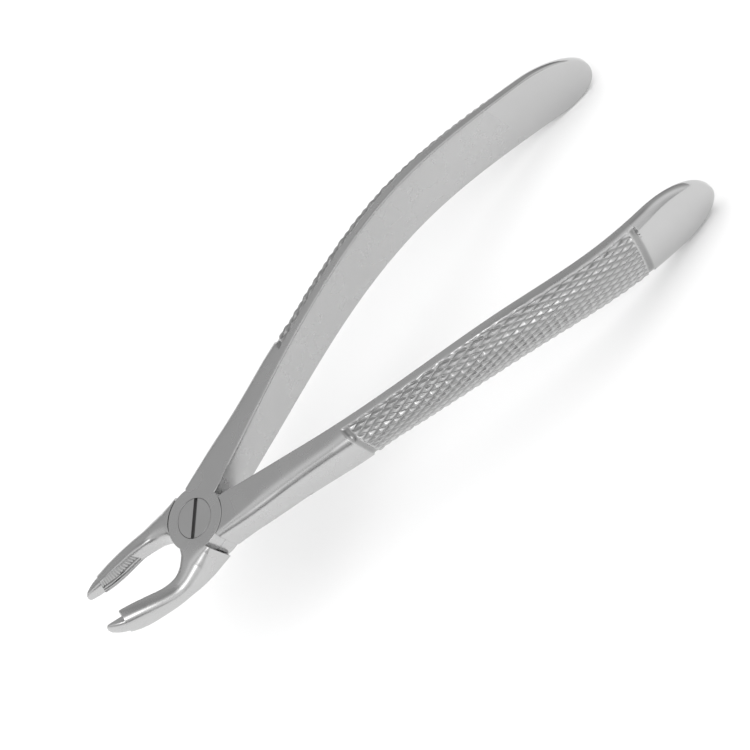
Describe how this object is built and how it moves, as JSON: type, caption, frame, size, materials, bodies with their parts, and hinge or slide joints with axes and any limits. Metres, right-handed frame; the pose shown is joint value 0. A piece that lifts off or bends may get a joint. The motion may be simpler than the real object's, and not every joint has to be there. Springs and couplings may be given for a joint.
{
  "type": "extraction forceps",
  "caption": "Lap-joint dental extraction forceps with curved pointed beaks, flat-backed crowned handles and a flush slotted joint screw.",
  "frame": {"origin": "centre of the joint's back face, on the pivot axis, on the flush threaded end of the joint screw", "axes": "+Z along the pivot axis towards the screw's slot, +X towards the ends of the handles, +Y towards the handle of the front half; drawn partly open, the two halves mirrored about the XZ plane"},
  "size_m": [0.158, 0.0564, 0.0363],
  "materials": {
    "satin_steel": "satin stainless steel, polished on the rounded ridges and the handle ends",
    "screw_steel": "satin stainless steel, ground flush with the joint"
  },
  "bodies": {
    "back_half": {"back_half": "satin_steel", "joint_screw": "screw_steel"},
    "front_half": {"front_half": "satin_steel"}
  },
  "joints": [
    {"name": "forceps_pivot", "type": "hinge", "parent": "back_half", "child": "front_half", "pos_m": [0, 0, 0.0042], "axis": [0, 0, 1], "range_deg": [-12, 20]}
  ]
}
